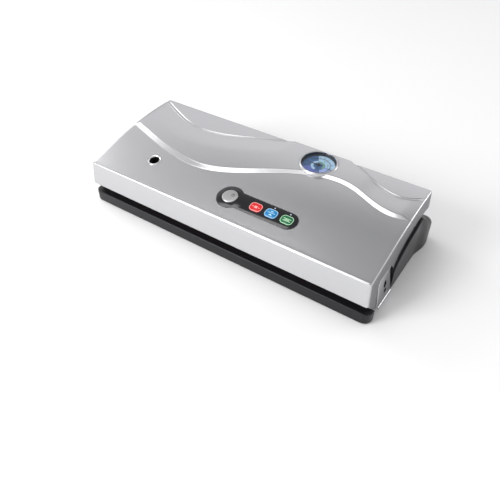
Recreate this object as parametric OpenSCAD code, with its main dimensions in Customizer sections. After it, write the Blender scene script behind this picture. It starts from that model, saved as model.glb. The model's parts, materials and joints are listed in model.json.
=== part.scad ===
// Countertop vacuum sealer: a silver lid hinged at the rear over a black base.
// X runs along the length, -Y is the front, +Z is up. The origin is the middle of
// the footprint, on the surface that the feet stand on.

/* [Lid] */
// Half length of the lid at the bottom edge of its front wall
lid_half = 196; // [194:0.5:196.5]
// Height of the front wall's bottom edge
lid_low = 29.5; // [29:0.1:30]
// Height of the top edge at the front
lid_rim = 59.5; // [58:0.5:62]
// Slope of the flat front part of the top, in degrees
slope = 12; // [11:0.5:13]
// Radius of the crowned rear part of the top
crown_r = 490; // [480:5:500]
// Wall thickness of the lid
wall = 2.2; // [2:0.1:2.4]
// Height of the raised wave band
band_h = 2.5; // [1:0.5:3]
// Sideways lean of the end walls, per millimetre of height
lean = 0.06; // [0.05:0.01:0.08]

/* [Base] */
// Half length of the base at its front corners
base_half = 199.8; // [199:0.1:200]
// Half length of the base across its rear hips
hip_half = 202; // [200:0.5:202]
// Depth of the base, front to rear
base_depth = 178; // [177:1:179]
// Height of the front ledge
ledge_z = 15.5; // [15:0.5:16]
// Height of the rear hump
hump_z = 44; // [43:0.5:44.5]
// Height of the feet below the base
foot_h = 1.5; // [1:0.5:2]
// Wall thickness of the base
shell = 2.6; // [2.4:0.1:3]

/* [Controls] */
// Distance of the panel's centre line from the middle of the footprint
panel_y = -54; // [-56:1:-52]
// Radius of the start button
start_r = 9.5; // [9:0.5:10]
// Distance between neighbouring keys
key_pitch = 20.4; // [20:0.2:21]
// Radius of the gauge's bezel at its foot
gauge_r = 24.8; // [24.4:0.1:26]

/* [Hidden] */
$fn = 48;

silver = [0.70, 0.71, 0.72];
black = [0.10, 0.10, 0.11];
dark = [0.18, 0.18, 0.19];
steel = [0.62, 0.63, 0.65];
rubber = [0.06, 0.06, 0.06];

front_y = -base_depth / 2;       // front of the lid and of the whole footprint
back_y = base_depth / 2;
base_front = front_y + 2;
rim_front = front_y + 2.7;       // top edge of the lid's front wall
rim_back = 70.4;                 // top edge of the lid's rear wall
low_back = 73.4;                 // bottom edge of the lid's rear wall
low_back_z = 55;
crown_y = -40;                   // where the flat slope turns into the crown
apex_y = crown_y + crown_r * sin(slope);
apex_z = lid_rim + (crown_y - rim_front) * tan(slope) + crown_r * (1 - cos(slope));

hinge_y = 64;
hinge_z = 54;
pin_r = 2;
run = 0.05;                      // radial clearance of a running fit

deck_z = 22;
deck_y = [-71.5, -5];
deck_half = 178;
chamber_y = -27;                 // centre line of the vacuum chamber
chamber_half = 168;              // half length of the gasket ring
gasket_w = 40;                   // width of the gasket ring
heater_y = -61;
liner_z = 31;                    // underside of the flat part of the lid's liner

ear_front = -75;                 // recess in the base for the lid's ears
ear_back = -24.4;
ear_x = 192.6;
wing_half = 197.5;               // half length of the base behind the ears
ear_wall = 5;                    // thickness of the wall behind each ear
ear_low = 4;
cheek_x = 190.4;                 // inner face of the base's raised cheeks
slot_y = -64;                    // slot in front of each latch
latch_z = 44;                    // height of a latch's pivot
latch_x = lid_half + (lid_low - latch_z) * lean - wall / 2;

gauge_at = [61.4, 43.9];
gauge_body_r = 22.2;
gauge_tilt = 3;                  // the gauge faces slightly forward
gauge_z = 78.9;                  // middle of the bezel's flat seat
dial_drop = 1.9;                 // floor of the gauge's dish below the seat
port_at = [-122, -47];
key_x = 36;

// Height of the lid's top surface at y
function top_z(y) = y < crown_y ? lid_rim + (y - rim_front) * tan(slope)
  : apex_z - crown_r + sqrt(crown_r * crown_r - (y - apex_y) * (y - apex_y));
// Smooth step from 0 to 1
function ease(t) = (1 - cos(180 * max(0, min(1, t)))) / 2;
// Height of the base's top surface at y
function base_z(y) = y < -16 ? ledge_z
  : y < 68 ? ledge_z + (hump_z - ledge_z) * sin(90 * (y + 16) / 84)
  : 20 + (hump_z - 20) * sqrt(max(0, 1 - pow((y - 68) / (back_y - 68), 2)));
// Value at x of a curve that swings smoothly between [x, y] turning points
function swing(c, x, i = 0) = i >= len(c) - 2 || x < c[i + 1][0]
  ? c[i][1] + (c[i + 1][1] - c[i][1]) * ease((x - c[i][0]) / (c[i + 1][0] - c[i][0]))
  : swing(c, x, i + 1);
front_wave = [[-260, 5.5], [-72, -33.2], [96, 24.7], [173.5, 3.1], [225, 19]];
back_wave = [[-240, 75], [-105, 31], [45, 74], [75, 72], [166, 36.8], [225, 64]];

// Extrudes a (y, z) outline along X between x0 and x1
module along_x(x0, x1) {
  translate([x0, 0, 0]) rotate([90, 0, 90]) linear_extrude(x1 - x0) children();
}
// Extrudes an (x, z) outline along Y between y0 and y1
module along_y(y0, y1) {
  translate([0, y1, 0]) rotate([90, 0, 0]) linear_extrude(y1 - y0) children();
}
module both_ends() {
  children();
  mirror([1, 0, 0]) children();
}
// Box from one corner to the opposite one
module block(a, b) {
  translate(a) cube(b - a);
}
// Frame on the lid's sloping front: origin on the surface at (x, y), Z along its normal
module on_slope(x, y) {
  translate([x, y, top_z(y)]) rotate([slope, 0, 0]) children();
}
// Rectangle w by d with round corners, centred
module pad(w, d, r) {
  square([w - 2 * r, d], center = true);
  square([w, d - 2 * r], center = true);
  for (x = [-1, 1], y = [-1, 1]) translate([x * (w / 2 - r), y * (d / 2 - r)]) circle(r);
}
module ring(r_out, r_in, h) {
  difference() {
    cylinder(r = r_out, h = h);
    translate([0, 0, -1]) cylinder(r = r_in, h = h + 2);
  }
}

// ---- Lid ----
// Side outline of the lid, t inside its outer face
module lid_side(t, low) {
  arc = [for (i = [0 : 12]) crown_y + (rim_back - t - crown_y) * i / 12];
  polygon(concat(
    [[rim_front - (lid_rim - low) * 0.09 + t, low], [rim_front + t, top_z(rim_front + t) - t]],
    [for (y = arc) [y, top_z(y) - t]],
    [[low_back - t - 0.12 * (low - low_back_z), low]]));
}
// End outline of the lid, t inside its outer face
module lid_end(t, low, high) {
  x0 = lid_half + (lid_low - low) * lean - t;
  x1 = lid_half + (lid_low - high) * lean - t;
  polygon([[-x0, low], [-x1, high], [x1, high], [x0, low]]);
}
module lid_mass(t, low) {
  intersection() {
    along_x(-210, 210) lid_side(t, low);
    along_y(-100, 100) lid_end(t, low, 100);
  }
}
// Everything below the lid's lower edges, seen from the end
module below_lid() {
  polygon([[-120, -10], [-120, lid_low], [front_y, lid_low], [-61, ear_low], [-29, ear_low],
    [-37.6, 50], [-24.5, 35.2], [-17, 41.5], [-9, 46], [0, 48.9], [10, 51.5], [22, 53.8],
    [34, 55.6], [46, 56.8],
    [57.5, 56.8], [low_back, low_back_z], [120, low_back_z], [120, -10]]);
}
module latch_outline(gap) {
  polygon([[slot_y - gap, latch_z], [-36.2 + gap, latch_z], [-26.4 + gap, ear_low - 2 * gap],
    [-61 - gap, ear_low - 2 * gap], [slot_y - gap, 6.8 - 2 * gap]]);
}
module latch_bore(r) {
  both_ends() translate([latch_x, 0, latch_z]) rotate([-90, 0, 0]) translate([0, 0, slot_y - 5])
    cylinder(r = r, h = 38);
}
module panel_outline(grow) {
  circle(16.5 + grow);
  translate([0, -12 - grow]) square([78, 24 + 2 * grow]);
  translate([78, 0]) circle(12 + grow);
}
module wave_plan() {
  steps = 40;
  edge = 188;
  polygon(concat(
    [for (i = [0 : steps]) let (x = -edge + 2 * edge * i / steps) [x, swing(front_wave, x)]],
    [for (i = [steps : -1 : 0]) let (x = -edge + 2 * edge * i / steps)
      [x, min(rim_back - 1.5, swing(back_wave, x))]]));
}
// Lid's outer solid with the raised band between the two waves
module lid_outer() {
  lid_mass(0, 0);
  intersection() {
    translate([0, 0, band_h]) lid_mass(0, 0);
    translate([0, 0, 60]) linear_extrude(40) wave_plan();
  }
}
lid_screw_at = [[-172, -78], [-60, -78], [60, -78], [172, -78], [-180, -12], [180, -12]];
module lid_bosses() {
  for (p = lid_screw_at) translate([p[0], p[1], liner_z + 2.05]) difference() {
    cylinder(r = 3.2, h = top_z(p[1]) - wall / 2 - liner_z - 2.05);
    translate([0, 0, -1]) cylinder(r = 1.35, h = 11);
  }
  both_ends() for (y = [slot_y - 5, -35.4]) translate([latch_x - 1, y, latch_z])
    rotate([-90, 0, 0]) cylinder(r = 2.2, h = 4.5);
}
module lid_shell() {
  color(silver) difference() {
    union() {
      difference() {
        lid_outer();
        lid_mass(wall, -4);
        along_x(-210, 210) below_lid();
      }
      lid_bosses();
      gauge_place(-4) cylinder(r = gauge_r + 1.3, h = 4.6);
    }
    along_x(-210, -185) latch_outline(0.5);
    along_x(185, 210) latch_outline(0.5);
    both_ends() translate([latch_x, slot_y - 0.5, latch_z]) rotate([-90, 0, 0])
      cylinder(r = 1.9, h = 28.8);
    latch_bore(0.75);
    gauge_place(-19) cylinder(r = gauge_body_r + 0.2, h = 40);
    gauge_place(0) cylinder(r = gauge_r + 0.1, h = 10);
    on_slope(port_at[0], port_at[1]) translate([0, 0, -10]) cylinder(r = 6.4, h = 20);
    on_slope(0, panel_y) translate([0, 0, -5]) linear_extrude(10) panel_outline(0.2);
  }
}
// Lower outline of the liner: flat over the deck, then rising over the base's hump
module liner_side() {
  under = [[-86.5, liner_z], [-6, liner_z], [14, 41], [40, 50], [58, 52]];
  polygon(concat(under, [for (i = [len(under) - 1 : -1 : 0]) under[i] + [0, 2]]));
}
module lid_liner() {
  color(black) difference() {
    intersection() {
      along_x(-200, 200) liner_side();
      lid_mass(wall + 0.1, 0);
    }
    for (p = lid_screw_at) translate([p[0], p[1], 25]) cylinder(r = 1.5, h = 15);
    translate([gauge_at[0], chamber_y, 25]) cylinder(r = 1.5, h = 15);
    translate([port_at[0], -39.9, 25]) cylinder(r = 1.5, h = 15);
    both_ends() block([cheek_x - 1.2, slot_y - 2, 25], [210, 80, 60]);
  }
}
module lid_screws() {
  color(steel) for (p = lid_screw_at) translate([p[0], p[1], 0]) {
    translate([0, 0, liner_z - 1.2]) cylinder(r = 2.6, h = 1.2);
    translate([0, 0, liner_z - 0.5]) cylinder(r = 1.3, h = 11);
  }
}
// Racetrack gasket standing from z0 to z1 around the vacuum chamber
module gasket(z0, z1) {
  w = 6;
  translate([0, chamber_y, z0]) linear_extrude(z1 - z0) difference() {
    pad(2 * chamber_half, gasket_w, gasket_w / 2 - 0.5);
    pad(2 * (chamber_half - w), gasket_w - 2 * w, gasket_w / 2 - 0.5 - w);
  }
}
module upper_gasket() {
  color(dark) gasket(deck_z + 3.3, liner_z);
}
module seal_pad() {
  color([0.75, 0.3, 0.2]) block([-156, heater_y - 5, deck_z + 3.1], [156, heater_y + 5, liner_z]);
}
arm_x = [[112, 117.5], [124.5, 130]];
module hinge_bore(r, x0, x1) {
  both_ends() translate([x0, hinge_y, hinge_z]) rotate([0, 90, 0]) cylinder(r = r, h = x1 - x0);
}
module hinge_arms() {
  color(dark) difference() {
    both_ends() for (x = arm_x) along_x(x[0], x[1]) {
      polygon([[40, 52.05], [58, 54.05], [62, 51], [66, 57.4], [62, 59], [44, 57], [40, 55]]);
      translate([hinge_y, hinge_z]) circle(4);
    }
    hinge_bore(pin_r + run, 100, 140);
  }
}
module latch_pins() {
  color(steel) latch_bore(0.7);
}
module control_panel() {
  color([0.04, 0.04, 0.05]) on_slope(0, panel_y) difference() {
    union() {
      translate([0, 0, -2.4]) linear_extrude(3) panel_outline(0);
      translate([0, 0, -4]) linear_extrude(1.7) panel_outline(2);
    }
    translate([0, 0, -6]) cylinder(r = start_r + 0.3, h = 12);
    for (i = [0 : 2]) translate([key_x + i * key_pitch, 0, -6]) linear_extrude(12) pad(16.1, 12.9, 4.8);
    for (i = [1 : 2]) translate([key_x + i * key_pitch, 8.8, -6]) cylinder(r = 0.95, h = 12);
  }
}
module control_board() {
  color([0.1, 0.35, 0.2]) on_slope(0, panel_y) {
    block([-20, -13, -9.6], [92, 13, -8]);
    for (x = [0, key_x, key_x + key_pitch, key_x + 2 * key_pitch])
      block([x - 3, -3, -8.1], [x + 3, 3, -5.3]);
    translate([22.5, 0, -8.1]) cylinder(r = 1.8, h = 4.1);
    translate([89, 0, -8.1]) cylinder(r = 1.4, h = 4.1);
  }
}
module indicator_lights() {
  color([0.8, 0.9, 1]) on_slope(0, panel_y) for (i = [1 : 2])
    translate([key_x + i * key_pitch, 8.8, -8]) cylinder(r = 0.9, h = 8.9);
}
// On the gauge's axis, z above its seat
module gauge_place(z) {
  translate([gauge_at[0], gauge_at[1], gauge_z]) rotate([gauge_tilt, 0, 0])
    translate([0, 0, z]) children();
}
module gauge_body() {
  color(black) difference() {
    union() {
      gauge_place(-9.6) cylinder(r = gauge_body_r, h = 13.5);
      translate([gauge_at[0], gauge_at[1], 58.6]) cylinder(r = 4, h = 12);
    }
    gauge_place(-dial_drop) cylinder(r1 = 20.1, r2 = 21.4, h = 6.4);
    gauge_place(-dial_drop - 3) cylinder(r = 0.65, h = 5);
  }
}
module gauge_dial() {
  color([0.55, 0.75, 0.9]) gauge_place(-dial_drop) ring(20, 1, 0.8);
}
module gauge_bezel() {
  color(silver) gauge_place(0) difference() {
    cylinder(r1 = gauge_r, r2 = gauge_r - 1.6, h = 4.9);
    translate([0, 0, -1]) cylinder(r = gauge_body_r + 0.1, h = 4.95);
    translate([0, 0, -1]) cylinder(r = 21.2, h = 8);
  }
}
module gauge_lens() {
  color([0.8, 0.9, 1, 0.4]) gauge_place(4.4 - dial_drop) cylinder(r = 20.8, h = 1.2);
}
module gauge_needle() {
  color([0.9, 0.2, 0.1]) gauge_place(-dial_drop) {
    translate([0, 0, 1.3]) cylinder(r = 1.8, h = 1.8);
    translate([0, 0, -2.5]) cylinder(r = 0.6, h = 4);
    block([-15.5, -0.5, 1.8], [0, 0.5, 2.4]);
    block([0, -0.9, 1.8], [4.5, 0.9, 2.4]);
  }
}
module gauge_tube() {
  color([0.8, 0.8, 0.78]) {
    translate([gauge_at[0], chamber_y, 56]) rotate([-90, 0, 0])
      cylinder(r = 2.5, h = gauge_at[1] - chamber_y + 1);
    translate([gauge_at[0], chamber_y, liner_z + 2]) cylinder(r = 2.6, h = 25);
  }
}
module port_ring() {
  color([0.9, 0.9, 0.9]) on_slope(port_at[0], port_at[1]) translate([0, 0, 0]) ring(8.4, 6.3, 1.2);
}
module port_bush() {
  color(rubber) on_slope(port_at[0], port_at[1]) translate([0, 0, -12]) ring(6.2, 2.5, 12.8);
}
module port_tube() {
  color([0.8, 0.8, 0.78]) {
    on_slope(port_at[0], port_at[1]) translate([0, 0, -33]) cylinder(r = 3, h = 21);
    translate([port_at[0], -39.9, liner_z + 2]) cylinder(r = 3, h = 4);
  }
}
module start_button() {
  color([0.8, 0.8, 0.8]) on_slope(0, panel_y) {
    translate([0, 0, -3.8]) cylinder(r = start_r, h = 5.6);
    translate([0, 0, 1.8]) cylinder(r1 = start_r, r2 = start_r - 1, h = 0.8);
  }
}
module key(i, c) {
  color(c) on_slope(0, panel_y) translate([key_x + i * key_pitch, 0, -3.8])
    linear_extrude(5) pad(15.6, 12.4, 4.6);
}
module key_red() {
  key(0, [0.85, 0.1, 0.12]);
}
module key_blue() {
  key(1, [0.1, 0.45, 0.75]);
}
module key_green() {
  key(2, [0.1, 0.5, 0.25]);
}
// Right-hand ear; the left one is its mirror image
module latch() {
  difference() {
    union() {
      intersection() {
        difference() {
          lid_mass(0, 0);
          lid_mass(wall, -4);
        }
        along_x(150, 210) latch_outline(0);
      }
      translate([latch_x, slot_y, latch_z]) rotate([-90, 0, 0]) cylinder(r = 1.4, h = 27.6);
      along_y(-60.6, -27) polygon([[196.6, 4], [199.6, 4], [199.6, 5.4], [198.6, 5.6], [196.6, 8.6]]);
      along_y(-52, -36) polygon([[193.3, 10], [193.3, 11], [196.4, 11], [196.4, 6.5]]);
    }
    translate([latch_x, slot_y - 5, latch_z]) rotate([-90, 0, 0]) cylinder(r = 0.75, h = 38);
    along_x(194.6, 197.5) translate([-44, 33]) polygon([[-3, 1.5], [3, 1.5], [0, -3]]);
  }
}
module latch_right() {
  color(silver) latch();
}
module latch_left() {
  color(silver) mirror([1, 0, 0]) latch();
}

// ---- Base ----
module base_side(t, low) {
  up = [for (i = [0 : 11]) -16 + 7 * i];
  polygon(concat(
    [[base_front + t, low], [base_front + t, ledge_z - 1 - t], [base_front + 1 + t, ledge_z - t]],
    [for (y = up) [y, base_z(y) - t]],
    [for (a = [15 : 15 : 90]) [62 + (back_y - t - 62) * sin(a), 12 + (hump_z - t - 12) * cos(a)]],
    [[back_y - 2 - t, low]]));
}
// Cheek at each end of the base, rising close below the lid's edge
module cheek_side(t, low) {
  top = [[ear_back, 26], [-22.6, 32], [-17, 37], [-9, 41.2], [0, 44.2], [10, 46.9], [22, 49.3],
    [34, 51.1], [46, 52.1], [54, 51.6], [59, 49.4], [63.4, 44.8]];
  polygon(concat([[ear_back + t, low]], [for (p = top) [max(ear_back + t, p[0]), p[1] - t]],
    [[66, 40 - t], [66, low]]));
}
// Plan outline, t inside the outer face
module base_plan(t) {
  rf = 9;
  rb = 16;
  right = concat(
    [for (a = [-90 : 15 : 0]) [base_half - rf, base_front + rf] + (rf - t) * [cos(a), sin(a)]],
    [[base_half - t, -60], [wing_half - t, -50]],
    [for (y = [40 : 4 : 68]) [wing_half - t + (hip_half - wing_half) * ease((y - 40) / 28), y]],
    [for (a = [0 : 15 : 90]) [hip_half - rb, back_y - rb] + (rb - t) * [cos(a), sin(a)]]);
  polygon(concat(right, [for (i = [len(right) - 1 : -1 : 0]) [-right[i][0], right[i][1]]]));
}
// Front view of the base: its ends lean inwards towards the lid
module base_front_view(t, low) {
  right = [[hip_half, low - 1], [hip_half, 28], [hip_half - 0.8, 36], [hip_half - 2.2, 43],
    [hip_half - 4.4, 49.5], [hip_half - 6, 53]];
  polygon(concat([for (p = right) p - [t, 0]],
    [for (i = [len(right) - 1 : -1 : 0]) [t - right[i][0], right[i][1]]]));
}
module base_mass(t, low) {
  intersection() {
    union() {
      along_x(-210, 210) base_side(t, low);
      both_ends() along_x(cheek_x + t, 210) cheek_side(t, low);
    }
    translate([0, 0, low - 1]) linear_extrude(60) base_plan(t);
    along_y(-100, 100) base_front_view(t, low);
  }
}
module ear_recess(grow) {
  both_ends() block([ear_x - grow, ear_front - grow, -5], [210, ear_back + grow, 60]);
}
cover_screw_at = [[-184, -45], [184, -45], [-184, 66], [184, 66], [-60, -78], [60, -78]];
inlet = [[-165, 72, 7], [-141, 87, 19]];
module lower_housing() {
  color(black) difference() {
    union() {
      difference() {
        base_mass(0, foot_h);
        base_mass(shell, 0);
      }
      intersection() {
        ear_recess(ear_wall);
        base_mass(shell / 2, foot_h + 2.1);
      }
      for (p = cover_screw_at) translate([p[0], p[1], foot_h + 2])
        cylinder(r = 3.5, h = base_z(p[1]) - shell - foot_h - 1.9);
    }
    ear_recess(0);
    both_ends() block([ear_x - 3.4, -54.2, 8], [210, -33.8, 12.95]);
    block([-deck_half - 0.2, deck_y[0] - 0.2, foot_h + 2],
      [deck_half + 0.2, deck_y[1] + 0.2, 60]);
    for (p = cover_screw_at) translate([p[0], p[1], foot_h + 1]) cylinder(r = 1.55, h = 8);
    block(inlet[0] - [0.2, 0, 0.2], inlet[1] + [0.2, 10, 0.2]);
  }
}
feet_at = [[-165, -62], [165, -62], [-165, 66], [165, 66]];
module bottom_cover() {
  color(dark) difference() {
    translate([0, 0, foot_h]) linear_extrude(2) base_plan(shell + 0.2);
    ear_recess(ear_wall + 0.2);
    block([-210, back_y - 5, 0], [210, 100, 10]);
    for (p = cover_screw_at) translate([p[0], p[1], 0]) {
      cylinder(r = 1.7, h = 8);
      cylinder(r = 3, h = foot_h + 1.2);
    }
    for (p = feet_at) translate([p[0], p[1], 0]) cylinder(r = 8.2, h = foot_h + 0.9);
    for (x = [-66 : 8 : 86]) block([x, 30, 0], [x + 3, 60, 10]);
  }
}
module cover_screws() {
  color(steel) for (p = cover_screw_at) translate([p[0], p[1], 0]) {
    translate([0, 0, foot_h]) cylinder(r = 2.8, h = 1.2);
    translate([0, 0, foot_h + 1]) cylinder(r = 1.45, h = 7.5);
  }
}
module rubber_feet() {
  color(rubber) for (p = feet_at) translate([p[0], p[1], 0]) cylinder(r = 8, h = foot_h + 0.9);
}
trough = [[-158, -39, 6], [158, -15, 22]];
module work_deck() {
  color(black) difference() {
    union() {
      difference() {
        block([-deck_half, deck_y[0], 12.9], [deck_half, deck_y[1], deck_z]);
        block([-deck_half + 2, deck_y[0] + 2, 10], [deck_half - 2, deck_y[1] - 2, deck_z - 2.2]);
      }
      block(trough[0], trough[1]);
    }
    block(trough[0] + [2, 2, 2], trough[1] + [-2, -2, 5]);
    translate([85, -20, 9.5]) rotate([-90, 0, 0]) cylinder(r = 1.8, h = 8);
  }
}
module drip_tray() {
  lo = trough[0] + [2.4, 2.4, 2];
  hi = [trough[1][0] - 2.4, trough[1][1] - 2.4, 16];
  color(dark) difference() {
    block(lo, hi);
    block(lo + [1.2, 1.2, 1.2], hi + [-1.2, -1.2, 5]);
    translate([85, -20, 9.5]) rotate([-90, 0, 0]) cylinder(r = 1.8, h = 8);
  }
}
module lower_gasket() {
  color(dark) gasket(deck_z, deck_z + 3);
}
module heater_bar() {
  color([0.85, 0.82, 0.75]) block([-158, heater_y - 6, deck_z], [158, heater_y + 6, deck_z + 2.2]);
}
module heating_strip() {
  color(steel) block([-154, heater_y - 2, deck_z + 2.2], [154, heater_y + 2, deck_z + 2.45]);
}
module ptfe_tape() {
  color([0.6, 0.45, 0.3]) block([-156, heater_y - 5.5, deck_z + 2.45],
    [156, heater_y + 5.5, deck_z + 2.7]);
}
module latch_strikes() {
  color(steel) both_ends() block([ear_x - 3.2, -54, 11.7], [ear_x, -34, 12.9]);
}
module hinge_brackets() {
  color(dark) difference() {
    both_ends() along_x(118, 124) {
      polygon([[52, 42], [62.5, 42], [65.5, 51], [61, 55], [59, 51]]);
      translate([hinge_y, hinge_z]) circle(4);
    }
    hinge_bore(pin_r, 100, 140);
    base_mass(0, foot_h);
  }
}
module hinge_pins() {
  color(steel) hinge_bore(pin_r, 110, 132);
}
motor_at = [20, 48, 22];
module pump_motor() {
  color(steel) translate(motor_at) rotate([0, 90, 0]) {
    cylinder(r = 13, h = 46);
    translate([0, 0, 45]) cylinder(r = 5, h = 5);
    translate([0, 0, -3]) cylinder(r = 2.5, h = 4);
  }
}
module pump_head() {
  color(dark) block([70, 33, 8], [100, 63, 34]);
}
module pump_bracket() {
  color(steel) difference() {
    union() {
      block([24, 34, foot_h + 2], [100, 62, 8]);
      for (x = [28, 54]) block([x, 36, 7], [x + 4, 60, 16]);
    }
    translate(motor_at) rotate([0, 90, 0]) cylinder(r = 13.05, h = 60);
  }
}
module vacuum_hose() {
  color([0.8, 0.8, 0.78]) translate([85, trough[1][1], 9.5]) rotate([-90, 0, 0])
    ring(2.9, 1.8, 33 - trough[1][1]);
}
module release_valve() {
  color([0.2, 0.3, 0.6]) {
    block([112, 36, foot_h + 2], [138, 54, 18]);
    translate([106, 45, 12]) rotate([0, 90, 0]) cylinder(r = 2.5, h = 8);
  }
}
module transformer() {
  color([0.75, 0.6, 0.3]) {
    block([-150, 34, foot_h + 2], [-100, 66, 33]);
    block([-140, 30, 8], [-110, 70, 28]);
  }
}
module power_board() {
  color([0.1, 0.35, 0.2]) {
    block([-85, 26, 8], [8, 72, 9.6]);
    for (x = [-82, 5], y = [29, 69]) translate([x, y, foot_h + 2]) cylinder(r = 2.5, h = 5);
    for (x = [-70, -54]) translate([x, 40, 9.5]) cylinder(r = 6, h = 16);
    block([-40, 34, 9.5], [-20, 50, 24]);
    block([-14, 54, 9.5], [0, 66, 18]);
  }
}
module power_inlet() {
  color(rubber) difference() {
    block(inlet[0], inlet[1]);
    for (x = [-157, -149]) translate([x, 76, 13]) rotate([-90, 0, 0]) cylinder(r = 3.6, h = 20);
    block([-157, 76, 10], [-149, 100, 16]);
  }
  color(steel) for (x = [-157, -149]) translate([x, 75, 13]) rotate([-90, 0, 0])
    cylinder(r = 1.1, h = 9);
}

lower_housing();
bottom_cover();
cover_screws();
rubber_feet();
work_deck();
drip_tray();
lower_gasket();
heater_bar();
heating_strip();
ptfe_tape();
latch_strikes();
hinge_brackets();
hinge_pins();
pump_motor();
pump_head();
pump_bracket();
vacuum_hose();
release_valve();
transformer();
power_board();
power_inlet();
lid_shell();
lid_liner();
lid_screws();
upper_gasket();
seal_pad();
hinge_arms();
latch_pins();
control_panel();
control_board();
indicator_lights();
gauge_body();
gauge_dial();
gauge_bezel();
gauge_lens();
gauge_tube();
port_ring();
port_bush();
port_tube();
start_button();
key_red();
key_blue();
key_green();
gauge_needle();
latch_left();
latch_right();
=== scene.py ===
"""Vacuum sealer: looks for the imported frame. Metres, X along the length, -Y the front, Z up."""

import json
import math

import bmesh
import bpy
from mathutils import Matrix, Vector


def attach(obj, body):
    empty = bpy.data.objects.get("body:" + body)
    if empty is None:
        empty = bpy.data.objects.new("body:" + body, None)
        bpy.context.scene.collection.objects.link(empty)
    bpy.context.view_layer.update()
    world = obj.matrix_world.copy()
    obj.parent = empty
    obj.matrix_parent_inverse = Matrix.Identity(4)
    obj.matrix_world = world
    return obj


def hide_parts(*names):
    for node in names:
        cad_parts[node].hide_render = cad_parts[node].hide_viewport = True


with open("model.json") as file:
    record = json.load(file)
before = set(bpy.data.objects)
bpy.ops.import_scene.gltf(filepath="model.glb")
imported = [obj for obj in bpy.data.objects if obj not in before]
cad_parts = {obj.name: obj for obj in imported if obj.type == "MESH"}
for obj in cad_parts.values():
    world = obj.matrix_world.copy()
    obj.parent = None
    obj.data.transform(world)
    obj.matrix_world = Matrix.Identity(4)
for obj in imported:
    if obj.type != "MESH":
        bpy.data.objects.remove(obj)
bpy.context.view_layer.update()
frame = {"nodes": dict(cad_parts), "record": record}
nodes = frame["nodes"]
MM = 0.001

# ---------------------------------------------------------------- places, in millimetres
# Lid: straight slope up from the front, then a crown of radius CROWN_R
SLOPE = math.radians(12)
LID_HALF = 196.0      # half length at height LID_LOW
LID_LOW = 29.5
LID_RIM = 59.5        # height of the front rim
RIM_HALF = 194.2
FRONT_Y = -89.0
RIM_FRONT = -86.3
RIM_BACK = 70.4
LOW_BACK_Y = 73.4
LOW_BACK_Z = 55.0
CROWN_Y = -40.0
CROWN_R = 490.0
APEX_Y = CROWN_Y + CROWN_R * math.sin(SLOPE)
APEX_Z = LID_RIM + (CROWN_Y - RIM_FRONT) * math.tan(SLOPE) + CROWN_R * (1 - math.cos(SLOPE))
LEAN = 0.06           # how far the end walls lean in, per mm of height
WALL = 2.2
FILLET_OUT = 2.6      # reach and drop of the rounded rim
FILLET_DOWN = 2.0
# Raised band between two wave lines, given by their turning points (x, y)
FRONT_WAVE = ((-260, 5.5), (-72, -33.2), (96, 24.7), (173.5, 3.1), (225, 19))
BACK_WAVE = ((-240, 75), (-105, 31), (45, 74), (75, 72), (166, 36.8), (225, 64))
BAND_H = 2.5
CREST_WIDE = 1.3      # width of the band's rear edge
SHOULDER = 34.0       # the band sinks towards that edge over this distance
BEAD_H = 0.3          # small bead along the rear edge
CREASE_DEEP = 0.55    # groove just behind it
# Features of the lid
GAUGE_AT = (61.4, 43.9)
GAUGE_TILT = 3
GAUGE_Z = 78.9
DIAL_Z = -1.1         # dial's face, in the gauge's own frame
PORT_AT = (-122.0, -47.0)
PANEL_Y = -54.0
KEY_X = (36.0, 56.4, 76.8)
KEY_RAISED = 1.0      # where the marks on a key start
# Latches
SLOT_Y = -64.0
LATCH_Z = 44.0
EAR_LOW = 4.0
PROUD = 0.025         # how far a latch's plate leans out of the lid's wall, per mm
# Base
BASE_HALF = 199.8
WING_HALF = 197.5
HIP_HALF = 202.0
CHEEK_X = 190.4
EAR_X = 192.6
EAR_BACK = -24.4
BASE_FRONT = -87.0
BASE_BACK = 89.0
FRONT_R = 9.0         # round corners in plan
BACK_R = 16.0
LEDGE_BACK = -16.0    # the flat ledge ends here and the top starts to rise
HUMP_Y = 62.0         # the hump is highest here, and curves down behind
HUMP_FOOT = 12.0
HUMP_RUN = 84.0       # length of the quarter sine that rises to the hump
LEDGE_Z = 15.5
HUMP_Z = 44.0
BASE_LOW = 1.5


def top_z(y):
    """Height of the lid's top surface at y, without the band."""
    if y < CROWN_Y:
        return LID_RIM + (y - RIM_FRONT) * math.tan(SLOPE)
    return APEX_Z - CROWN_R + math.sqrt(CROWN_R ** 2 - (y - APEX_Y) ** 2)


def ease(t):
    """Soft step from 0 to 1, half a cosine."""
    return (1 - math.cos(math.pi * max(0.0, min(1.0, t)))) / 2


def swing(curve, x):
    """Value at x of a curve that swings smoothly between turning points."""
    for (x0, y0), (x1, y1) in zip(curve, curve[1:]):
        if x < x1:
            return y0 + (y1 - y0) * ease((x - x0) / (x1 - x0))
    return curve[-1][1]


def smooth(t):
    """Soft step from 0 to 1."""
    t = max(0.0, min(1.0, t))
    return t * t * (3 - 2 * t)


def piecewise(points, t):
    """Value at t on straight lines between the points."""
    for (t0, v0), (t1, v1) in zip(points, points[1:]):
        if t < t1:
            return v0 + (v1 - v0) * max(0.0, t - t0) / (t1 - t0)
    return points[-1][1]


def step_slope(t):
    """Straight step from 0 to 1 with softened ends."""
    t = max(0.0, min(1.0, t))
    soft = 0.22
    if t < soft:
        return t * t / (2 * soft) / (1 - soft)
    if t > 1 - soft:
        return 1 - (1 - t) ** 2 / (2 * soft) / (1 - soft)
    return (t - soft / 2) / (1 - soft)


def wave(curve, x):
    """A wave line's y at x, and how much longer it is to cross along y than straight across."""
    slope = swing(curve, x + 0.5) - swing(curve, x - 0.5)
    return swing(curve, x), math.hypot(1, slope)


def step_wide(x):
    """Width of the band's front step: broader at the left end."""
    return 6.0 + 1.5 * smooth((-60 - x) / 70)


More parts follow.
